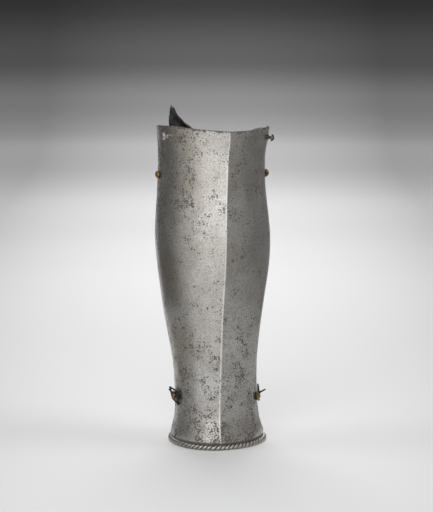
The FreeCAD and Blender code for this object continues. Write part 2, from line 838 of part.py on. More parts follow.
def chape(name, way, bar, bar_normal, bar_way):
    """Strip bent along the plate under the cap, and rolled round the bar."""
    point, normal = cap_frame(name)
    half = chape_width / 2
    depth = 2 * burr_radius
    length = (bar - point).dot(way) + chape_margin
    slab = Part.makeBox(length, chape_width, 2 * depth, Vector(-chape_margin, -half, -depth))
    strip = shell(point.z - length, point.z + length, -seat_gap - chape_thickness, -seat_gap, chape_levels)
    strip = strip.common(placed(slab, point, normal, way))
    start = Vector(0, -half, 0)
    end = Vector(0, half, 0)
    roll = placed(rod(bar_radius + bar_gap + chape_thickness, start, end), bar, bar_normal, bar_way)
    bore = placed(rod(bar_radius + bar_gap, start, end, overrun), bar, bar_normal, bar_way)
    shape = strip.fuse(roll).cut(bore)
    return shape.cut(placed(shank_hole(cap_shank_radius, plate), point, normal)).removeSplitter()


def buckle_frame(length, width, slide, twist):
    """Frame of round iron with its bar along Y at the origin and its far side at +X."""
    half = width / 2 - frame_iron_radius
    lean = math.radians(twist)
    middle = Vector(length, slide, 0)
    rise = Vector(0, half * math.cos(lean), half * math.sin(lean))
    ends = [Vector(0, slide - half, 0), Vector(0, slide + half, 0)]
    corners = [middle + rise, middle - rise]
    shape = rod(bar_radius, *ends)
    for point in ends:
        shape = shape.fuse(Part.makeSphere(bar_radius, point))
    for point in corners:
        shape = shape.fuse(Part.makeSphere(frame_iron_radius, point))
    for start, end in ((ends[1], corners[0]), corners, (corners[1], ends[0])):
        shape = shape.fuse(rod(frame_iron_radius, start, end))
    return shape.removeSplitter()


def buckle_tongue(length, twist, side):
    """Tongue looped on the bar beside the chape, lying over the frame's far side."""
    half = tongue_loop_length / 2
    loop_radius = bar_radius + bar_gap + tongue_loop_wall
    low = Vector(0, side - half, 0)
    high = Vector(0, side + half, 0)
    root = Vector(0, side, loop_radius - tongue_radius)
    tip = Vector(length + tongue_overhang, side, side * math.tan(math.radians(twist)) + tongue_rise)
    axis = tip - root
    spike = Part.makeCone(tongue_radius, tongue_tip_radius, axis.Length, root, axis)
    shape = rod(loop_radius, low, high).fuse(spike)
    return shape.cut(rod(bar_radius + bar_gap, low, high, overrun)).removeSplitter()


def turned(shape, degrees):
    """Swings a frame or a tongue off the plate about its bar."""
    moved = shape.copy()
    moved.rotate(Vector(0, 0, 0), Vector(0, 1, 0), -degrees)
    return moved


def buckle(name, folded):
    """A buckle's three pieces; a folded one lies back round its own cap."""
    size = buckle_sizes[name]
    way = strap_way(name, size["sag"], folded)
    bar_way = strap_way(name, size["sag"] + size["bar_lean"], folded)
    bar, normal = bar_frame(name, size["reach"], way)
    back = bar_way * -1 if folded else bar_way
    up = 1 if normal.cross(back).z > 0 else -1
    length = size["length"]
    twist = up * size["twist"]
    frame_shape = buckle_frame(length, size["width"], up * size["slide"], twist)
    tongue_shape = buckle_tongue(length, twist, up * tongue_side)
    tongue_turn = size["open"] + size["tongue_open"]
    prefix = name.split("_")[0] + "_buckle_"
    return {
        prefix + "chape": chape(name, way, bar, normal, bar_way),
        prefix + "frame": placed(turned(frame_shape, size["open"]), bar, normal, back),
        prefix + "tongue": placed(turned(tongue_shape, tongue_turn), bar, normal, back),
    }


def model():
    """Every piece by its name, where it belongs on the leg."""
    pieces, foot = borders()
    shin = shin_plate(foot)
    calf = calf_plate(foot)
    band = lining_band(True)
    back_band = lining_band(False)
    for hole in cap_holes(cap_places, plate) + [turning_hole(name) for name in turning_places]:
        shin = shin.cut(hole)
    for hole in lining_holes(True):
        shin = shin.cut(hole)
        band = band.cut(hole)
    for hole in lining_holes(False):
        calf = calf.cut(hole)
        back_band = back_band.cut(hole)
    inner = plate + leaf_gap
    outer = calf_inset - leaf_gap - leaf_thickness
    for z, name in zip(hinge_heights, ("upper", "lower")):
        place = "lateral_" + name
        front_end = cap_frame(place)[0].y - leaf_margin
        front_leaf = leaf(z, inner, front_end, hinge_y, False)
        back_leaf = leaf(z, outer, hinge_y, hinge_y + back_leaf_length, True)
        for hole in cap_holes([place], plate):
            front_leaf = front_leaf.cut(hole)
        for hole in leaf_holes(z):
            back_leaf = back_leaf.cut(hole)
            calf = calf.cut(hole)
        pieces[name + "_hinge_front_leaf"] = front_leaf
        pieces[name + "_hinge_back_leaf"] = back_leaf
        pieces[name + "_hinge_pin"] = hinge_pin(z)
    pieces["hinge_leaf_rivets"] = leaf_rivets()
    pieces["front_plate"] = shin
    pieces["back_plate"] = calf
    pieces["back_top_edge_wire"] = top_wire()
    pieces.update(cap_fasteners())
    for name in turning_places:
        point, normal = turning_frame(name)
        pieces[name + "_turning_pin"] = placed(turning_pin(), point, normal)
        pieces[name + "_turning_pin_burr"] = placed(turning_burr(), point, normal)
    for front, name, strip in ((True, "front", band), (False, "back", back_band)):
        rivets, washers = lining_rivets(front)
        pieces[name + "_lining_band"] = strip
        pieces[name + "_lining_rivets"] = rivets
        pieces[name + "_lining_washers"] = washers
    pieces.update(buckle("medial_lower", True))
    pieces.update(buckle("lateral_lower", False))
    return pieces


def middle_shift(pieces):
    """Moves the middle of the whole greave's box over the origin."""
    box = None
    for shape in pieces.values():
        for solid in shape if isinstance(shape, list) else [shape]:
            size = solid.optimalBoundingBox()
            if box is None:
                box = size
            else:
                box.add(size)
    return Vector(-box.Center.x, -box.Center.y, 0)


def export(pieces):
    os.makedirs("parts", exist_ok=True)
    shift = middle_shift(pieces)
    for name, shape in pieces.items():
        whole = Part.makeCompound(shape) if isinstance(shape, list) else shape
        whole = whole.copy()
        whole.translate(shift)
        whole.exportStep("parts/" + name + ".step")
    return shift


if __name__ == "__main__":
    pieces = model()
    shift = export(pieces)
    print("pieces:", len(pieces))
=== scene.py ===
import json
import math

import bmesh
import bpy
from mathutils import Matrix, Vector, noise


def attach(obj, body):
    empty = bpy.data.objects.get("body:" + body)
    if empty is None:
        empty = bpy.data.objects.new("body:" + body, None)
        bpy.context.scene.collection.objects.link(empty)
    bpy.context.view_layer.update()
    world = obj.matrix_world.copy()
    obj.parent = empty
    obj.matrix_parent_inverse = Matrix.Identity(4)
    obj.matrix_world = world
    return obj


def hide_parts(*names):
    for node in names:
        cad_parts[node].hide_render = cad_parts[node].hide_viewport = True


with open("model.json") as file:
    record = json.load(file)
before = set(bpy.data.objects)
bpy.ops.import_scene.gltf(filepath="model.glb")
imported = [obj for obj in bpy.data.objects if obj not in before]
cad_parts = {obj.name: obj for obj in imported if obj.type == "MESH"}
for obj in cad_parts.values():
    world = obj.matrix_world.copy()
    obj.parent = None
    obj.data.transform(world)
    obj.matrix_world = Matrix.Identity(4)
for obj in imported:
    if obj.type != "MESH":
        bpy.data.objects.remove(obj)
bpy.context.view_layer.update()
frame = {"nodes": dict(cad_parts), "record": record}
nodes = frame["nodes"]
slotOf = {part["node"]: part["material_slot"] for part in frame["record"]["subparts"]}
bodyOf = {
    name: body
    for body, names in frame["record"]["behaviour"]["bodies"].items()
    for name in names
}
mm = 0.001
print("frame loaded,", len(nodes), "nodes")


# camera and studio

cameraView = {
    "distance": 2.300,      # level distance from the foot, metres
    "height": 0.590,
    "azimuth": -11.0,       # degrees, to the left of the shin
    "pitch": -9.02,
    "aside": 0.0039,        # aims this far right of the foot's middle
    "lens": 136.6,
    "sensor": 36,
    "clip": (0.05, 30),
}

studio = {
    "floorRadius": 2.9,
    "floorSteps": 10,
    "coveRadius": 0.8,
    "coveSteps": 12,
    "wallTop": 3.0,
    "sides": 72,
    "paleShares": (         # where along the paper, and how pale it is there; the darkening out to the wall and up it is painted shade
        (0.0, 0.74), (0.13, 0.74), (0.30, 0.80), (0.54, 0.78), (0.74, 0.60),
        (0.816, 0.32), (0.875, 0.14), (0.947, 0.05), (1.0, 0.04),
    ),
    "glowShares": (         # where along the paper, and how much it glows there
        (0.0, 0.0), (0.30, 0.0), (0.384, 0.03), (0.543, 0.21), (0.70, 0.28), (0.735, 0.29),
        (0.775, 0.18), (0.816, 0.155), (0.875, 0.067), (0.947, 0.024), (1.0, 0.015),
    ),
    "paleReach": 4.3,       # radius plus height where the last shade is reached
    "coolness": 1.005,      # blue against red
    "sideFade": 1.6,        # how fast the paper darkens to both sides, by the square of metres
    "sideFloor": 0.62,      # and the least share that stays
    "roughness": 0.9,
    "specular": 0.1,
    "world": 0.30,
    "aim": (0, 0, 0.2),     # where the softboxes point
}

softboxes = {               # azimuth, elevation, distance, width, height in metres, power in watts
    "key": (-20, 21, 2.7, 2.2, 2.3, 29),
    "front": (-24, 50, 2.6, 1.4, 0.9, 9),
    "top": (165, 68, 2.3, 1.6, 1.6, 19),
    "left": (-100, 40, 2.4, 0.9, 0.9, 8),
    "right": (70, 45, 2.4, 1.0, 1.0, 14),
    "back": (172, 40, 2.6, 1.8, 1.0, 26),
}

cardSteps = 24
cardLift = 0.0005           # keeps the lying cards off the paper
flags = {                   # dark cards that only reflections see: azimuths, radii, top, shade
    "leftCard": (-150, -84, 0.52, 0.52, 1.1, 0.19),
    "firstSlopeCard": (-84, -72, 0.52, 0.52, 1.1, 0.34),
    "secondSlopeCard": (-72, -58, 0.52, 0.52, 1.1, 0.62),
    "thirdSlopeCard": (-58, -44, 0.52, 0.52, 1.1, 0.82),
    "rightCard": (22, 62, 0.52, 0.52, 1.1, 0.42),
    "farRightCard": (62, 142, 0.52, 0.52, 1.1, 0.28),
    "leftFloorCard": (-138, -60, 0.11, 0.52, 0, 0.36),
    "rightFloorCard": (22, 152, 0.11, 0.52, 0, 0.48),
}


def addObject(name, data):
    thing = bpy.data.objects.new(name, data)
    bpy.context.scene.collection.objects.link(thing)
    return thing


def newMaterial(name):
    material = bpy.data.materials.new(name)
    material.use_nodes = True
    return material, material.node_tree, material.node_tree.nodes["Principled BSDF"]


def fromAngles(azimuth, elevation, distance):
    a = math.radians(azimuth)
    e = math.radians(elevation)
    level = math.cos(e)
    return Vector((math.sin(a) * level, -math.cos(a) * level, math.sin(e))) * distance


def makeCamera():
    view = cameraView
    data = bpy.data.cameras.new("camera")
    camera = addObject("camera", data)
    a = math.radians(view["azimuth"])
    right = Vector((math.cos(a), math.sin(a), 0))
    level = Vector((math.sin(a), -math.cos(a), 0)) * view["distance"]
    camera.location = level + right * view["aside"] + Vector((0, 0, view["height"]))
    camera.rotation_euler = (math.radians(90 + view["pitch"]), 0, a)
    data.lens = view["lens"]
    data.sensor_width = view["sensor"]
    data.clip_start, data.clip_end = view["clip"]
    bpy.context.scene.camera = camera


def makeSoftbox(name, azimuth, elevation, distance, width, height, power):
    data = bpy.data.lights.new(name, "AREA")
    data.shape = "RECTANGLE"
    data.size = width
    data.size_y = height
    data.energy = power
    lamp = addObject(name, data)
    aim = Vector(studio["aim"])
    lamp.location = aim + fromAngles(azimuth, elevation, distance)
    lamp.rotation_euler = (aim - lamp.location).to_track_quat("-Z", "Y").to_euler()


def makeCard(name, start, stop, near, far, top, shade):
    # lies on the floor between its radii, or stands where they are the same
    points = []
    for k in range(cardSteps + 1):
        way = fromAngles(start + (stop - start) * k / cardSteps, 0, 1)
        points.append((way.x * near, way.y * near, cardLift))
        points.append((way.x * far, way.y * far, max(top, cardLift)))
    faces = [(k, k + 2, k + 3, k + 1) for k in range(0, 2 * cardSteps, 2)]
    mesh = bpy.data.meshes.new(name)
    mesh.from_pydata(points, [], faces)
    card = addObject(name, mesh)
    card.visible_camera = False
    card.visible_diffuse = False
    card.visible_shadow = False
    card.visible_transmission = False
    material, tree, shader = newMaterial(name)
    shader.inputs["Base Color"].default_value = (shade, shade, shade, 1)
    shader.inputs["Roughness"].default_value = 1.0
    shader.inputs["Specular IOR Level"].default_value = 0.0
    mesh.materials.append(material)


def makeFloor():
    # a sheet of paper that curves up into a wall all round
    s = studio
    count = s["sides"]
    profile = [(s["floorRadius"] * k / s["floorSteps"], 0.0) for k in range(1, s["floorSteps"] + 1)]
    for k in range(1, s["coveSteps"] + 1):
        turn = math.pi / 2 * k / s["coveSteps"]
        out = s["floorRadius"] + s["coveRadius"] * math.sin(turn)
        profile.append((out, s["coveRadius"] * (1 - math.cos(turn))))
    profile.append((s["floorRadius"] + s["coveRadius"], s["wallTop"]))
    points = []
    for radius, z in profile:
        for i in range(count):
            turn = 2 * math.pi * i / count
            points.append((radius * math.cos(turn), radius * math.sin(turn), z))
    points.append((0, 0, 0))
    last = len(points) - 1
    faces = [(last, i, (i + 1) % count) for i in range(count)]
    for k in range(len(profile) - 1):
        low = k * count
        high = low + count
        for i in range(count):
            j = (i + 1) % count
            faces.append((low + i, high + i, high + j, low + j))
    mesh = bpy.data.meshes.new("floor")
    mesh.from_pydata(points, [], faces)
    for face in mesh.polygons:
        face.use_smooth = True
    floor = addObject("floor", mesh)
    mesh.materials.append(palePaper())


def palePaper():
    s = studio
    material, tree, shader = newMaterial("palePaper")
    shader.inputs["Roughness"].default_value = s["roughness"]
    shader.inputs["Specular IOR Level"].default_value = s["specular"]
    x, y, z = splitAxes(tree, tree.nodes.new("ShaderNodeNewGeometry").outputs["Position"])
    radius = vectorMath(tree, "LENGTH", joinAxes(tree, x, y))
    share = math2(tree, "DIVIDE", plus(tree, radius, z), s["paleReach"])
    # the paper's paleness, with painted shade out to the wall and up it
    pale = shadeRamp(tree, share, [(at, (v, v, v * s["coolness"])) for at, v in s["paleShares"]])
    glow = shadeRamp(tree, share, [(at, (v, v, v)) for at, v in s["glowShares"]])
    # painted shade: in the picture the paper darkens toward both sides
    a = math.radians(cameraView["azimuth"])
    beside = plus(tree, times(tree, x, math.cos(a)), times(tree, y, math.sin(a)))
    loss = times(tree, times(tree, beside, beside), s["sideFade"])
    loss = math2(tree, "MINIMUM", loss, 1 - s["sideFloor"])
    rays = tree.nodes.new("ShaderNodeLightPath").outputs
    kept = minus(tree, 1.0, times(tree, loss, rays["Is Camera Ray"]))
    feed(tree, shader.inputs["Base Color"], mixColor(tree, 1.0, pale, kept, "MULTIPLY"))
    feed(tree, shader.inputs["Emission Color"], mixColor(tree, 1.0, glow, kept, "MULTIPLY"))
    # the glow is for the picture and the reflections, and lights nothing
    seen = most(tree, rays["Is Camera Ray"], rays["Is Glossy Ray"])
    seen = most(tree, seen, rays["Is Transmission Ray"])
    feed(tree, shader.inputs["Emission Strength"], seen)
    return material


def makeStudio():
    makeFloor()
    world = bpy.data.worlds.new("world")
    world.use_nodes = True
    background = world.node_tree.nodes["Background"]
    background.inputs["Color"].default_value = (1, 1, 1, 1)
    background.inputs["Strength"].default_value = studio["world"]
    bpy.context.scene.world = world
    for name, values in softboxes.items():
        makeSoftbox(name, *values)
    for name, values in flags.items():
        makeCard(name, *values)
    bpy.context.scene.view_settings.view_transform = "Standard"


# shader helpers

def feed(tree, socket, value):
    # a constant is set on the socket, an output is linked to it
    if isinstance(value, tuple) and socket.type == "RGBA":
        socket.default_value = (*value, 1)
    elif isinstance(value, (int, float, tuple, Vector)):
        socket.default_value = value
    else:
        tree.links.new(value, socket)


def math2(tree, operation, a, b=None, clamp=False):
    node = tree.nodes.new("ShaderNodeMath")
    node.operation = operation
    node.use_clamp = clamp
    for socket, value in zip(node.inputs, (a, b)):
        if value is not None:
            feed(tree, socket, value)
    return node.outputs[0]


def plus(tree, a, b, clamp=False):
    return math2(tree, "ADD", a, b, clamp)


def minus(tree, a, b):
    return math2(tree, "SUBTRACT", a, b)


def times(tree, a, b, clamp=False):
    return math2(tree, "MULTIPLY", a, b, clamp)


def most(tree, a, b):
    return math2(tree, "MAXIMUM", a, b)


def apart(tree, a, b):
    return math2(tree, "ABSOLUTE", minus(tree, a, b))


def vectorMath(tree, operation, a, b=None):
    node = tree.nodes.new("ShaderNodeVectorMath")
    node.operation = operation
    feed(tree, node.inputs[0], a)
    if b is not None:
        feed(tree, node.inputs["Scale" if operation == "SCALE" else 1], b)
    single = operation in ("LENGTH", "DISTANCE", "DOT_PRODUCT")
    return node.outputs["Value" if single else "Vector"]


def splitAxes(tree, vector):
    node = tree.nodes.new("ShaderNodeSeparateXYZ")
    feed(tree, node.inputs[0], vector)
    return tuple(node.outputs[axis] for axis in "XYZ")


def joinAxes(tree, x, y, z=0.0):
    node = tree.nodes.new("ShaderNodeCombineXYZ")
    for axis, value in zip("XYZ", (x, y, z)):
        feed(tree, node.inputs[axis], value)
    return node.outputs[0]


def shadeRamp(tree, value, stops):
    ramp = tree.nodes.new("ShaderNodeValToRGB")
    ramp.color_ramp.interpolation = "EASE"
    elements = ramp.color_ramp.elements
    while len(elements) < len(stops):
        elements.new(1.0)
    for element, (at, color) in zip(elements, stops):
        element.position = at
        element.color = (*color, 1)
    feed(tree, ramp.inputs[0], value)
    return ramp.outputs[0]


def valueCurve(tree, value, spots):
    # a curve through evenly spaced spots, both ways between 0 and 1
    node = tree.nodes.new("ShaderNodeFloatCurve")
    points = node.mapping.curves[0].points
    while len(points) < len(spots):
        points.new(0.5, 0.5)
    for point, spot in zip(points, spots):
        point.location = spot
    node.mapping.update()
    feed(tree, node.inputs["Value"], value)
    return node.outputs[0]


def fade(tree, value, low, high, toLow=0.0, toHigh=1.0):
    node = tree.nodes.new("ShaderNodeMapRange")
    node.interpolation_type = "SMOOTHSTEP"
    feed(tree, node.inputs["Value"], value)
    for name, number in (("From Min", low), ("From Max", high), ("To Min", toLow), ("To Max", toHigh)):
        feed(tree, node.inputs[name], number)
    return node.outputs["Result"]


def mixColor(tree, share, a, b, blend="MIX"):
    node = tree.nodes.new("ShaderNodeMix")
    node.data_type = "RGBA"
    node.blend_type = blend
    sockets = [x for x in node.inputs if x.enabled]
    for socket, value in zip(sockets, (share, a, b)):
        feed(tree, socket, value)
    return [x for x in node.outputs if x.enabled][0]


def noiseAt(tree, vector, scale, detail=3.0, rough=0.55, wanted="Fac"):
    node = tree.nodes.new("ShaderNodeTexNoise")
    node.inputs["Detail"].default_value = detail
    node.inputs["Roughness"].default_value = rough
    feed(tree, node.inputs["Vector"], vector)
    feed(tree, node.inputs["Scale"], scale)
    return node.outputs[wanted]


def bumped(tree, shader, height, strength, distance):
    bump = tree.nodes.new("ShaderNodeBump")
    bump.inputs["Strength"].default_value = strength
    bump.inputs["Distance"].default_value = distance
    feed(tree, bump.inputs["Height"], height)
    feed(tree, shader.inputs["Normal"], bump.outputs[0])


def newGroup(name, inputs, outputs):
    number = "NodeSocketFloat"
    group = bpy.data.node_groups.new(name, "ShaderNodeTree")
    for label, value in inputs:
        socket = group.interface.new_socket(label, in_out="INPUT", socket_type=number)
        socket.default_value = value
    for label in outputs:
        group.interface.new_socket(label, in_out="OUTPUT", socket_type=number)
    start = group.nodes.new("NodeGroupInput").outputs
    end = group.nodes.new("NodeGroupOutput").inputs
    return group, start, end


def useGroup(tree, group, **values):
    # the keys are the sockets' labels in camelCase
    node = tree.nodes.new("ShaderNodeGroup")
    node.node_tree = group
    for socket in node.inputs:
        key = socket.name.replace(" ", "")
        key = key[0].lower() + key[1:]
        if key in values:
            feed(tree, socket, values[key])
    return node.outputs


# finishes that several materials share

pitShape = {
    "ragged": 2.2,              # how much finer than the cells their outline wanders
    "reach": 0.9,               # and how far, in cells
    "clusters": (0.42, 0.66),   # noise where clusters start and where they are full
    "evenShare": 0.45,
    "growth": 1.6,
    "widest": 0.5,
    "narrowest": 0.32,
    "edge": (-0.01, 0.10),      # each in cells from the pit's outline
    "core": (0.10, 0.30),
    "halo": (-0.28, 0.05),
    "haloSize": 0.3,
}


def makePitGroup():
    p = pitShape
    group, start, end = newGroup("corrosionPits", (
        ("Cells", 300.0),       # pits along a metre
        ("Amount", 0.5),
        ("Gather", 0.5),        # 0 spreads them evenly, 1 only in clusters
        ("Cluster Scale", 30.0),
        ("Shift", 0.0),
    ), ("Mask", "Halo", "Core"))
    place = group.nodes.new("ShaderNodeTexCoord").outputs["Object"]
    shift = start["Shift"]
    moved = vectorMath(group, "ADD", place, joinAxes(group, shift, shift, shift))
    # ragged outlines: the coordinates wander a little before the cells are laid
    push = noiseAt(group, moved, times(group, start["Cells"], p["ragged"]), 2.0, wanted="Color")
    push = vectorMath(group, "SUBTRACT", push, (0.5, 0.5, 0.5))
    push = vectorMath(group, "SCALE", push, math2(group, "DIVIDE", p["reach"], start["Cells"]))
    cells = group.nodes.new("ShaderNodeTexVoronoi")
    cells.feature = "F1"
    feed(group, cells.inputs["Vector"], vectorMath(group, "ADD", moved, push))
    feed(group, cells.inputs["Scale"], start["Cells"])
    chance = group.nodes.new("ShaderNodeSeparateColor")
    feed(group, chance.inputs[0], cells.outputs["Color"])
    cluster = noiseAt(group, moved, start["Cluster Scale"], 4.0, 0.6)
    cluster = fade(group, cluster, *p["clusters"])
    even = minus(group, 1.0, start["Gather"])
    density = plus(group, times(group, cluster, start["Gather"]), times(group, even, p["evenShare"]))
    density = times(group, density, start["Amount"])
    # a cell holds a pit when its own chance is under the density here
    size = times(group, minus(group, density, chance.outputs["Red"]), p["growth"], True)
    width = plus(group, times(group, chance.outputs["Green"], p["widest"]), p["narrowest"])
    depth = minus(group, times(group, size, width), cells.outputs["Distance"])
    halo = times(group, fade(group, depth, *p["halo"]), fade(group, size, 0.0, p["haloSize"]))
    feed(group, end["Mask"], fade(group, depth, *p["edge"]))
    feed(group, end["Core"], fade(group, depth, *p["core"]))
    feed(group, end["Halo"], halo)
    return group


def makePolishGroup():
    # fine lines that run up the piece, and large soft clouds
    group, start, end = newGroup("polishLines", (
        ("Fineness", 900.0),
        ("Length Share", 0.03),
    ), ("Value", "Clouds"))
    place = group.nodes.new("ShaderNodeTexCoord").outputs["Object"]
    x, y, z = splitAxes(group, place)
    long = joinAxes(group, x, y, times(group, z, start["Length Share"]))
    feed(group, end["Value"], noiseAt(group, long, start["Fineness"], 4.0, 0.65))
    feed(group, end["Clouds"], noiseAt(group, place, 26.0, 5.0, 0.62))
    return group


# plate steel

steel = {
    "bright": (0.620, 0.604, 0.578),
    "dull": (0.470, 0.452, 0.426),
    "brushed": (0.64, 0.63, 0.61),
    "glint": (0.80, 0.79, 0.77),
    "ridge": (0.86, 0.85, 0.82),
    "pit": (0.036, 0.031, 0.027),
    "rust": (0.140, 0.114, 0.084),
    "warm": (0.430, 0.392, 0.330),
    "inside": (0.150, 0.142, 0.134),
    "roughness": 0.32,
    "grain": (620.0, 3.0, 0.70),        # noises: cells along a metre, detail, roughness
    "patches": (130.0, 4.0, 0.65),
    "seams": (34.0, 5.0, 0.60),
    "seamGaps": (21.0, 2.0),
    "tint": (15.0, 4.0),
    "hammered": (62.0, 2.0, 0.45),
    "footReach": (0.03, 0.19),          # metres up, where the foot's wear starts to end and ends
    "highReach": (0.22, 0.30),
    "leftReach": (-0.042, -0.018),
    "wear": 0.66,                       # everywhere, then what the foot and the high left add
    "footWear": 0.42,
    "highWear": 0.80,
    "bottomGrime": 0.0083,              # height of the dark line above the border, metres
    "rivetGap": 2.75 * mm,              # radius of the dirt round a flush rivet
    "capGap": 6.3 * mm,
    "gapWidth": (0.5 * mm, 1.1 * mm),
    "rimNicks": 14 * mm,
    "rimDirt": (0.2 * mm, 1.8 * mm),
    "ridgeWidth": (0.25 * mm, 1.70 * mm),
    "bump": (0.6, 0.001),
}

# fades from one value to another, and the shares of the color there
steelMix = {
    "clouds": (0.32, 0.66),
    "patches": (0.40, 0.66, 0.0, 0.30),
    "brushed": (0.40, 0.70, 0.0, 0.32),
    "tint": (0.44, 0.66),
    "tintAcross": (-0.05, 0.02, 0.75, 0.30),
    "grainRust": (0.34, 0.54, 0.46, 0.0),
    "grainGlint": (0.56, 0.70, 0.0, 0.30),
    "ridgeUp": (0.17, 0.27, 0.85, 0.25),
    "sheetEdge": (0.55, 0.80, 0.0, 0.85),
    "inside": (-0.012, -0.002, 1.0, 0.0),
    "insidePatches": (0.38, 0.62),
    "halo": 0.45,
    "pits": 0.88,
}

# what adds to the roughness, and to the height under the bump
steelRough = {"base": -0.07, "lines": 0.14, "halo": 0.12, "dirt": 0.30}
steelHeight = {"hammered": 0.42, "patches": 0.07, "lines": 0.012, "grain": 0.035, "pits": 0.10}

largePits = {"cells": 270.0, "gather": 0.93, "clusterScale": 44.0, "shift": 0.31}
middlePits = {"cells": 600.0, "clusterScale": 60.0, "shift": 2.45}
smallPits = {"cells": 980.0, "clusterScale": 76.0, "shift": 3.10}
pitAmounts = {              # for each share of wear, then what the foot adds
    "large": 0.64,
    "middle": 1.15,
    "small": 1.20,
    "smallAtFoot": 0.70,
}
pitGather = {               # how much they gather, then what the wear takes off
    "middle": 0.90,
    "middleHigh": 0.40,
    "small": 0.76,
    "smallAtFoot": 0.42,
}
pitShares = {               # how dark each kind is
    "core": 0.45,
    "middle": 0.92,
    "small": 0.92,
    "seams": 0.85,
    "offRidge": 0.7,
    "bottom": 0.95,
    "rivets": 0.95,
    "caps": 0.7,
    "rim": 0.85,
}
seamFades = ((0.0, 0.016, 1.0, 0.0), (0.50, 0.62), (0.46, 0.60))


def merged(node):
    # a node's mesh with its doubled vertices joined
    work = bmesh.new()
    work.from_mesh(nodes[node].data)
    bmesh.ops.remove_doubles(work, verts=work.verts, dist=1e-6)
    return work


def headSpots(node):
    # outer middle of each separate head in a node
    work = merged(node)
    spots = []
    unseen = set(work.verts)
    while unseen:
        island = [unseen.pop()]
        for vertex in island:
            for edge in vertex.link_edges:
                other = edge.other_vert(vertex)
                if other in unseen:
                    unseen.remove(other)
                    island.append(other)
        reach = max(math.hypot(v.co.x, v.co.y) for v in island)
        outer = [v.co for v in island if math.hypot(v.co.x, v.co.y) > reach - 0.6 * mm]
        spots.append(sum(outer, Vector()) / len(outer))
    work.free()
    return spots


def ridgeMask(tree, x, y, z):
    # bright along the shin plate's ridge: a painted highlight where the rounded ridge catches the
    # light, and worn by polishing
    steps = 20
    high = 0.385
    spread = 20                 # brings the ridge's x into the curve's range
    work = merged("front_plate")
    crest = []
    for edge in work.edges:
        rise = (edge.verts[0].co - edge.verts[1].co).normalized()
        sharp = len(edge.link_faces) == 2 and 0.2 < edge.calc_face_angle(0) < 1.3
        if abs(rise.z) > 0.9 and sharp and all(face.normal.y < -0.5 for face in edge.link_faces):
            crest += [edge.verts[0].co.copy(), edge.verts[1].co.copy()]
    work.free()
    crest.sort(key=lambda p: p.z)
    spots = []
    for k in range(steps):
        level = high * k / (steps - 1)
        under = ([p for p in crest if p.z <= level] or crest[:1])[-1]
        over = ([p for p in crest if p.z > level] or crest[-1:])[0]
        share = (level - under.z) / max(over.z - under.z, 1e-6)
        across = under.x + (over.x - under.x) * min(max(share, 0), 1)
        spots.append((k / (steps - 1), 0.5 + across * spread))
    curve = valueCurve(tree, math2(tree, "DIVIDE", z, high), spots)
    line = math2(tree, "DIVIDE", minus(tree, curve, 0.5), spread)
    near = fade(tree, apart(tree, x, line), *steel["ridgeWidth"], 1.0, 0.0)
    ahead = fade(tree, y, -0.03, -0.02, 1.0, 0.0)
    print("ridge found on", len(crest), "points")
    return times(tree, near, ahead)


def rimDepth(tree, x, z):
    # how far below the shin plate's rim a point is
    steps = 18
    reach = 0.072
    spread = 10                 # brings the rim's height into the curve's range
    base = 3.3
    corners = [v.co for v in nodes["front_plate"].data.vertices if v.co.z > 0.3]
    spots = []
    for k in range(steps):
        at = -reach + 2 * reach * k / (steps - 1)
        near = [p.z for p in corners if abs(p.x - at) < 4.5 * mm]
        spots.append((k / (steps - 1), (max(near) if near else 0.38) * spread - base))
    across = math2(tree, "DIVIDE", plus(tree, x, reach), 2 * reach)
    top = math2(tree, "DIVIDE", plus(tree, valueCurve(tree, across, spots), base), spread)
    return minus(tree, top, z)


def steelPits(tree, place, z, grain, foot, high, crest):
    # three sizes of corrosion and thin seams: what is pitted and what is only stained
    s = steel
    a = pitAmounts
    g = pitGather
    dark = pitShares
    worn = plus(tree, times(tree, foot, s["footWear"]), times(tree, high, s["highWear"]))
    worn = plus(tree, worn, s["wear"])
    amount = times(tree, worn, a["large"])
    large = useGroup(tree, pitGroup, amount=amount, **largePits)
    amount = times(tree, worn, a["middle"])
    gather = minus(tree, g["middle"], times(tree, high, g["middleHigh"]))
    middle = useGroup(tree, pitGroup, amount=amount, gather=gather, **middlePits)
    amount = plus(tree, times(tree, worn, a["small"]), times(tree, foot, a["smallAtFoot"]))
    gather = minus(tree, g["small"], times(tree, foot, g["smallAtFoot"]))
    small = useGroup(tree, pitGroup, amount=amount, gather=gather, **smallPits)
    seams = apart(tree, noiseAt(tree, place, *s["seams"]), 0.5)
    thin, broken, rough = seamFades
    seams = fade(tree, seams, *thin)
    seams = times(tree, seams, fade(tree, noiseAt(tree, place, *s["seamGaps"]), *broken))
    seams = times(tree, seams, fade(tree, grain, *rough))

    ring = times(tree, large["Mask"], fade(tree, large["Core"], 0.0, 1.0, 1.0, dark["core"]))
    pits = most(tree, ring, times(tree, middle["Mask"], dark["middle"]))
    pits = most(tree, pits, times(tree, small["Mask"], dark["small"]))
    pits = most(tree, pits, times(tree, seams, dark["seams"]))
    pits = times(tree, pits, minus(tree, 1.0, times(tree, crest, dark["offRidge"])))
    return pits, most(tree, large["Halo"], middle["Halo"])


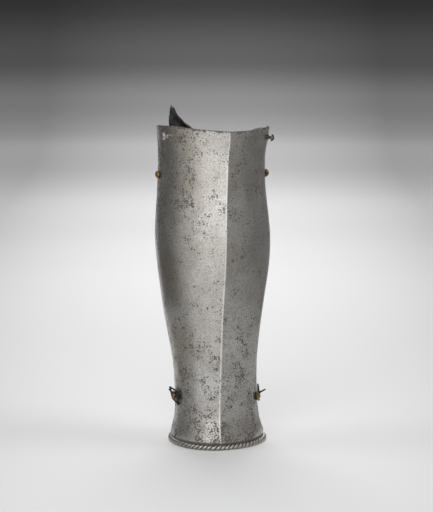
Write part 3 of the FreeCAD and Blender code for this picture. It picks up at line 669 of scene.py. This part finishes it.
def steelGrime(tree, place, x, y, z, patches):
    # dirt above the border, round the heads and under the rim
    s = steel
    dark = pitShares
    bottom = s["bottomGrime"]
    grime = fade(tree, z, bottom - 1.2 * mm, bottom + 1.4 * mm, dark["bottom"], 0.0)
    flush = headSpots("front_lining_rivets") + headSpots("back_lining_rivets")
    rings = [(spot, s["rivetGap"], dark["rivets"]) for spot in flush]
    rings += [(spot, s["capGap"], dark["caps"]) for spot in headSpots("brass_rivet_caps")]
    for spot, radius, strength in rings:
        gap = apart(tree, vectorMath(tree, "DISTANCE", place, spot), radius)
        grime = most(tree, grime, fade(tree, gap, *s["gapWidth"], strength, 0.0))
    nicks = times(tree, minus(tree, patches, 0.42), s["rimNicks"])
    under = minus(tree, rimDepth(tree, x, z), nicks)
    ahead = fade(tree, y, -0.006, 0.0, 1.0, 0.0)
    rim = times(tree, fade(tree, under, *s["rimDirt"], dark["rim"], 0.0), ahead)
    return most(tree, grime, rim)


def plateSteel():
    s = steel
    mix = steelMix
    material, tree, shader = newMaterial("plateSteel")
    coordinates = tree.nodes.new("ShaderNodeTexCoord").outputs
    place = coordinates["Object"]
    x, y, z = splitAxes(tree, place)
    # worn most at the foot and high on the left
    foot = fade(tree, z, *s["footReach"], 1.0, 0.0)
    high = times(tree, fade(tree, z, *s["highReach"]), fade(tree, x, *s["leftReach"], 1.0, 0.0))
    polish = useGroup(tree, polishGroup)
    grain = noiseAt(tree, place, *s["grain"])
    patches = noiseAt(tree, place, *s["patches"])
    crest = ridgeMask(tree, x, y, z)
    pits, halo = steelPits(tree, place, z, grain, foot, high, crest)

    base = mixColor(tree, fade(tree, polish["Clouds"], *mix["clouds"]), s["dull"], s["bright"])
    base = mixColor(tree, fade(tree, patches, *mix["patches"]), base, s["dull"])
    base = mixColor(tree, fade(tree, polish["Value"], *mix["brushed"]), base, s["brushed"])
    tint = fade(tree, noiseAt(tree, place, *s["tint"]), *mix["tint"])
    tint = times(tree, tint, fade(tree, x, *mix["tintAcross"]))
    base = mixColor(tree, tint, base, s["warm"])
    base = mixColor(tree, fade(tree, grain, *mix["grainRust"]), base, s["rust"])
    base = mixColor(tree, fade(tree, grain, *mix["grainGlint"]), base, s["glint"])
    # painted highlight along the ridge, less of it higher up
    shine = times(tree, crest, fade(tree, z, *mix["ridgeUp"]))
    base = mixColor(tree, shine, base, s["ridge"])
    base = mixColor(tree, times(tree, halo, mix["halo"]), base, s["rust"])
    pits = most(tree, pits, steelGrime(tree, place, x, y, z, patches))
    base = mixColor(tree, times(tree, pits, mix["pits"]), base, s["pit"])

    # edges of the sheet are dark, and its inner face is painted dark: painted shade
    faceX, faceY, faceZ = splitAxes(tree, coordinates["Normal"])
    edge = fade(tree, math2(tree, "ABSOLUTE", faceZ), *mix["sheetEdge"])
    outward = plus(tree, times(tree, faceX, x), times(tree, faceY, y))
    inside = fade(tree, outward, *mix["inside"])
    deepestInsideShade = tuple(0.5 * c for c in s["inside"])
    shadedInside = mixColor(tree, fade(tree, patches, *mix["insidePatches"]), deepestInsideShade, s["inside"])
    base = mixColor(tree, edge, base, s["pit"])
    feed(tree, shader.inputs["Base Color"], mixColor(tree, inside, base, shadedInside))

    dirt = most(tree, pits, edge)
    feed(tree, shader.inputs["Metallic"], minus(tree, 1.0, times(tree, dirt, 0.75)))
    add = steelRough
    rough = plus(tree, times(tree, polish["Value"], add["lines"]), s["roughness"] + add["base"])
    rough = plus(tree, rough, times(tree, halo, add["halo"]))
    rough = plus(tree, rough, times(tree, most(tree, dirt, inside), add["dirt"]), True)
    feed(tree, shader.inputs["Roughness"], rough)

    add = steelHeight
    height = times(tree, noiseAt(tree, place, *s["hammered"]), add["hammered"])
    height = plus(tree, height, times(tree, patches, add["patches"]))
    height = plus(tree, height, times(tree, polish["Value"], add["lines"]))
    height = plus(tree, height, times(tree, grain, add["grain"]))
    height = minus(tree, height, times(tree, pits, add["pits"]))
    bumped(tree, shader, height, *s["bump"])
    return material


# other metals and the leather

metal = {                   # values for the other finishes
    "lines": {"fineness": 1500.0, "lengthShare": 0.6},
    "coarseLines": {"fineness": 420.0, "lengthShare": 0.6},
    "pits": {"gather": 0.3, "clusterScale": 160.0, "shift": 0.9},
    "tarnish": (0.030, 0.020, 0.012),
    "grooveDirt": (0.035, 0.028, 0.022),
    "bump": (0.5, 0.0003),
}


def rimTarnishAndShade(tree):
    # tarnish and painted shade darken a dome's rim, where its face turns away from the leg's radius
    coordinates = tree.nodes.new("ShaderNodeTexCoord").outputs
    outward = vectorMath(tree, "MULTIPLY", coordinates["Object"], (1, 1, 0))
    outward = vectorMath(tree, "NORMALIZE", outward)
    facing = vectorMath(tree, "DOT_PRODUCT", outward, coordinates["Normal"])
    return fade(tree, facing, 0.20, 0.62, 0.92, 0.0)


def simpleMetal(name, bright, dark, rough, cells, amount, metallic=1.0, special=None):
    m = metal
    material, tree, shader = newMaterial(name)
    polish = useGroup(tree, polishGroup, **m["coarseLines" if special == "coarse" else "lines"])
    lines = polish["Value"]
    pits = useGroup(tree, pitGroup, cells=cells, amount=amount, **m["pits"])["Mask"]
    base = mixColor(tree, fade(tree, lines, 0.3, 0.7), dark, bright)
    base = mixColor(tree, times(tree, pits, 0.8), base, tuple(c * 0.25 for c in dark))
    if special == "rimmed":
        # tarnish and painted shade round the dome's rim
        base = mixColor(tree, rimTarnishAndShade(tree), base, m["tarnish"])
    if special == "grooved":
        groove = tree.nodes.new("ShaderNodeAttribute")
        groove.attribute_name = "groove"
        dirt = fade(tree, groove.outputs["Fac"], 0.30, 0.75, 0.0, 0.92)
        base = mixColor(tree, dirt, base, m["grooveDirt"])
    feed(tree, shader.inputs["Base Color"], base)
    feed(tree, shader.inputs["Metallic"], metallic)
    uneven = plus(tree, times(tree, lines, 0.25), rough - 0.12, True)
    feed(tree, shader.inputs["Roughness"], uneven)
    bumped(tree, shader, minus(tree, times(tree, lines, 0.5), pits), *m["bump"])
    return material


pitGroup = makePitGroup()
polishGroup = makePolishGroup()
finishes = {                # bright and dark colors, roughness, pits along a metre, their amount
    "plate_steel": plateSteel(),
    "border_steel": simpleMetal(
        "ropedSteel", (0.58, 0.56, 0.53), (0.30, 0.28, 0.255), 0.34, 900.0, 0.7, special="grooved"),
    "fitting_steel": simpleMetal(
        "fittingSteel", (0.42, 0.40, 0.375), (0.20, 0.18, 0.16), 0.42, 1100.0, 0.6),
    "dark_iron": simpleMetal(
        "forgedIron", (0.060, 0.053, 0.048), (0.020, 0.017, 0.015), 0.46, 900.0, 0.8, 0.85),
    "brass": simpleMetal(
        "agedBrass", (0.48, 0.315, 0.15), (0.14, 0.085, 0.04), 0.27, 800.0, 0.8, special="rimmed"),
    "lining_leather": simpleMetal(
        "dryLeather", (0.20, 0.12, 0.07), (0.09, 0.055, 0.035), 0.75, 700.0, 0.6, 0.0),
}
ownFinish = {
    "medial_turning_pin": simpleMetal(
        "rustedPin", (0.90, 0.84, 0.82), (0.060, 0.028, 0.024), 0.26, 700.0, 0.9, special="coarse"),
    "lateral_turning_pin": simpleMetal(
        "blackenedPin", (0.14, 0.12, 0.115), (0.022, 0.018, 0.016), 0.30, 700.0, 0.9, special="coarse"),
}
print("finishes made")


def paintNodes():
    for name, thing in nodes.items():
        thing.data.materials.clear()
        thing.data.materials.append(finishes[slotOf[name]])


# tools for the meshes

def keepPiece(name, mesh, node, finish=None):
    # puts a mesh in its node's place, on the body that the node rides on
    for face in mesh.polygons:
        face.use_smooth = True
    thing = addObject(name, mesh)
    mesh.materials.clear()
    mesh.materials.append(finish or finishes[slotOf[node]])
    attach(thing, bodyOf[node])
    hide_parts(node)


def wander(point, size, seed):
    # smooth seeded push between -1 and 1 at a place
    return noise.noise(point / size + Vector((seed, seed * 1.7, seed * 0.6)))


def forged(node, cell, unevenness, soften, swell):
    # copies a node's solid, rounds its corners and works its surface by hand; lengths in mm
    first, *others = node.split("_")
    name = first + "".join(word.capitalize() for word in others)
    copy = addObject(name + "Raw", nodes[node].data.copy())
    remesh = copy.modifiers.new("remesh", "REMESH")
    remesh.mode = "VOXEL"
    remesh.voxel_size = cell * mm
    smooth = copy.modifiers.new("smooth", "SMOOTH")
    smooth.factor = 0.5
    smooth.iterations = soften
    graph = bpy.context.evaluated_depsgraph_get()
    mesh = bpy.data.meshes.new_from_object(copy.evaluated_get(graph))
    mesh.name = name
    bpy.data.objects.remove(copy)
    pushes = []
    for vertex in mesh.vertices:
        push = swell * mm
        for k, (size, depth) in enumerate(unevenness):
            push += depth * mm * wander(vertex.co, size * mm, 3.1 * k + 1.3)
        pushes.append(vertex.normal * push)
    for vertex, push in zip(mesh.vertices, pushes):
        vertex.co += push
        vertex.co.z = max(vertex.co.z, 0)
    keepPiece(name, mesh, node, ownFinish.get(node))


def tube(name, rings):
    # skin through rings of points, with its ends filled
    count = len(rings[0])
    points = [point for ring in rings for point in ring]
    faces = []
    for k in range(len(rings) - 1):
        low = k * count
        high = low + count
        for i in range(count):
            j = (i + 1) % count
            faces.append((low + i, low + j, high + j, high + i))
    last = (len(rings) - 1) * count
    faces.append(tuple(reversed(range(count))))
    faces.append(tuple(range(last, last + count)))
    mesh = bpy.data.meshes.new(name)
    mesh.from_pydata(points, [], faces)
    work = bmesh.new()
    work.from_mesh(mesh)
    bmesh.ops.recalc_face_normals(work, faces=work.faces)
    work.to_mesh(mesh)
    work.free()
    return mesh


def wireLine(node, radius, behind, step):
    # middle line of a round wire that runs about the leg, every step of its length
    bins = 240
    rounds = 3
    spots = []
    for vertex in nodes[node].data.vertices:
        middle = vertex.co - vertex.normal * radius
        turn = math.atan2(middle.x, middle.y if behind else -middle.y)
        spots.append((turn, middle))
    spots.sort(key=lambda spot: spot[0])
    low = spots[0][0]
    span = spots[-1][0] - low
    line = []
    for k in range(bins):
        start = low + span * k / bins
        stop = low + span * (k + 1) / bins
        inside = [p for turn, p in spots if start <= turn <= stop]
        if inside:
            line.append(sum(inside, Vector()) / len(inside))
    for turn in range(rounds):
        middles = [(a + b * 2 + c) / 4 for a, b, c in zip(line, line[1:], line[2:])]
        line = [line[0]] + middles + [line[-1]]
    return spaced(line, step)


def spaced(line, step):
    lengths = [0.0]
    for a, b in zip(line, line[1:]):
        lengths.append(lengths[-1] + (b - a).length)
    count = max(2, round(lengths[-1] / step))
    points = []
    k = 0
    for i in range(count + 1):
        aim = lengths[-1] * i / count
        while k < len(line) - 2 and lengths[k + 1] < aim:
            k += 1
        share = (aim - lengths[k]) / max(lengths[k + 1] - lengths[k], 1e-9)
        points.append(line[k].lerp(line[k + 1], min(share, 1)))
    return points


def directions(line, i):
    # along the line at one of its points, and outward from the leg there
    last = len(line) - 1
    along = (line[min(i + 1, last)] - line[max(i - 1, 0)]).normalized()
    outward = Vector((line[i].x, line[i].y, 0))
    return along, (outward - along * outward.dot(along)).normalized()


# roped border

rope = {
    "radius": 3.2 * mm,
    "pitch": 5.4 * mm,          # from one strand to the next
    "lean": 1.0,                # strands that pass in half a turn round the border
    "depth": 0.34,              # groove, as a share of the radius
    "round": 0.75,              # lower makes flatter strands with narrower grooves
    "wear": 0.45,
    "sway": 0.25,               # how far the strands' spacing wanders, in strands
    "thinning": 0.02,
    "endReach": 1.2 * mm,       # the ends are rounded over this length, by this share
    "endShare": 0.10,
    "step": 0.30 * mm,
    "sides": 44,
    "wire": 1.5 * mm,
}


def ropedBorder(name, node, behind):
    r = rope
    line = wireLine(node + "_wire", r["wire"], behind, r["step"])
    rings = []
    grooves = []
    travelled = 0.0
    last = len(line) - 1
    up = Vector((0, 0, 1))
    for i, middle in enumerate(line):
        along, outward = directions(line, i)
        if i:
            travelled += (middle - line[i - 1]).length
        ends = min(i, last - i) * r["step"] / r["endReach"]
        blunt = r["endShare"] * max(0, 1 - ends) ** 2
        thin = r["thinning"] * (1 + wander(middle, 6 * mm, 8.0))
        sway = r["sway"] * wander(middle, 14 * mm, 2.0)
        ring = []
        for j in range(r["sides"]):
            turn = 2 * math.pi * j / r["sides"]
            side = outward * math.cos(turn) + up * math.sin(turn)
            leaning = turn if behind else -turn
            phase = travelled / r["pitch"] + leaning * r["lean"] / math.pi + sway
            crest = abs(math.cos(math.pi * phase)) ** r["round"]
            worn = 1 - r["wear"] * max(0, wander(middle + side * r["radius"], 9 * mm, 5.0))
            radius = r["radius"] * (1 - r["depth"] * worn * (1 - crest)) * (1 - thin - blunt)
            point = middle + side * radius
            point.z = max(point.z, 0)
            ring.append(point)
            grooves.append(1 - crest)
        rings.append(ring)
    mesh = tube(name, rings)
    layer = mesh.attributes.new("groove", "FLOAT", "POINT")
    layer.data.foreach_set("value", grooves)
    keepPiece(name, mesh, node)


ropedBorder("frontRopedBorder", "front_border", False)
ropedBorder("backRopedBorder", "back_border", True)
print("roped borders carved")


# calf plate's turned top edge, rolled over its wire

hem = {
    "wire": 1.2 * mm,
    "halfWidth": 2.35 * mm,
    "halfHeight": 2.15 * mm,
    "outward": 0.5 * mm,        # the roll's middle stands this far outside the wire's
    "step": 0.9 * mm,
    "sides": 28,
    "taper": 5.0 * mm,
    "tip": 0.45,                # share of the roll's size that is left at its ends
    "uneven": 0.176 * mm,
}


def turnedEdge():
    h = hem
    line = wireLine("back_top_edge_wire", h["wire"], True, h["step"])
    rings = []
    last = len(line) - 1
    for i, middle in enumerate(line):
        along, outward = directions(line, i)
        up = outward.cross(along).normalized()
        if up.z < 0:
            up = -up
        centre = middle + outward * h["outward"]
        reach = min(i, last - i) * h["step"] / h["taper"]
        narrow = h["tip"] + (1 - h["tip"]) * min(1, reach) ** 0.6
        ring = []
        for j in range(h["sides"]):
            turn = 2 * math.pi * j / h["sides"]
            side = outward * math.cos(turn) * h["halfWidth"] + up * math.sin(turn) * h["halfHeight"]
            point = centre + side * narrow
            point += side.normalized() * h["uneven"] * wander(point, 5 * mm, 4.0)
            ring.append(point)
        rings.append(ring)
    name = "turnedTopEdge"
    keepPiece(name, tube(name, rings), "back_top_edge_wire", finishes["plate_steel"])


turnedEdge()
print("top edge turned")


# small fittings, worked from their solids

leafWork = ((6.0, 0.08), (1.5, 0.04))
frameWork = ((5.0, 0.26), (1.2, 0.10))
tongueWork = ((4.0, 0.12), (1.0, 0.05))
chapeWork = ((5.0, 0.14), (1.2, 0.05))
turningPinWork = ((2.5, 0.16), (0.8, 0.06))
leatherWork = ((16.0, 0.28), (3.0, 0.14))

# cell, sizes and depths of the unevenness, rounds of smoothing, and swelling, lengths in mm:
# smoothing thins the irons, so they are let out again, and the hinge pins turn freely
handwork = {
    "brass_rivet_caps": (0.16, ((3.0, 0.16), (0.9, 0.05)), 3, 0),
    "medial_buckle_frame": (0.17, frameWork, 3, 0.30),
    "lateral_buckle_frame": (0.17, frameWork, 3, 0.30),
    "medial_buckle_tongue": (0.13, tongueWork, 2, 0.25),
    "lateral_buckle_tongue": (0.13, tongueWork, 2, 0.35),
    "medial_buckle_chape": (0.15, chapeWork, 2, 0.10),
    "lateral_buckle_chape": (0.15, chapeWork, 2, 0.10),
    "medial_turning_pin": (0.16, turningPinWork, 3, 0.12),
    "lateral_turning_pin": (0.16, turningPinWork, 3, 0.12),
    "upper_hinge_front_leaf": (0.22, leafWork, 2, 0),
    "lower_hinge_front_leaf": (0.22, leafWork, 2, 0),
    "upper_hinge_back_leaf": (0.22, leafWork, 2, 0),
    "lower_hinge_back_leaf": (0.22, leafWork, 2, 0),
    "upper_hinge_pin": (0.14, ((3.0, 0.06),), 2, -0.12),
    "lower_hinge_pin": (0.14, ((3.0, 0.06),), 2, -0.12),
    "hinge_leaf_rivets": (0.14, ((2.5, 0.10), (0.8, 0.04)), 2, 0),
    "front_lining_rivets": (0.16, ((2.5, 0.08),), 1, 0),
    "back_lining_rivets": (0.16, ((2.5, 0.08),), 1, 0),
    "front_lining_band": (0.50, leatherWork, 2, 0),
    "back_lining_band": (0.50, leatherWork, 2, 0),
}

for node, values in handwork.items():
    forged(node, *values)
print("fittings worked")


makeCamera()
makeStudio()
paintNodes()
print("camera, studio and paint done")
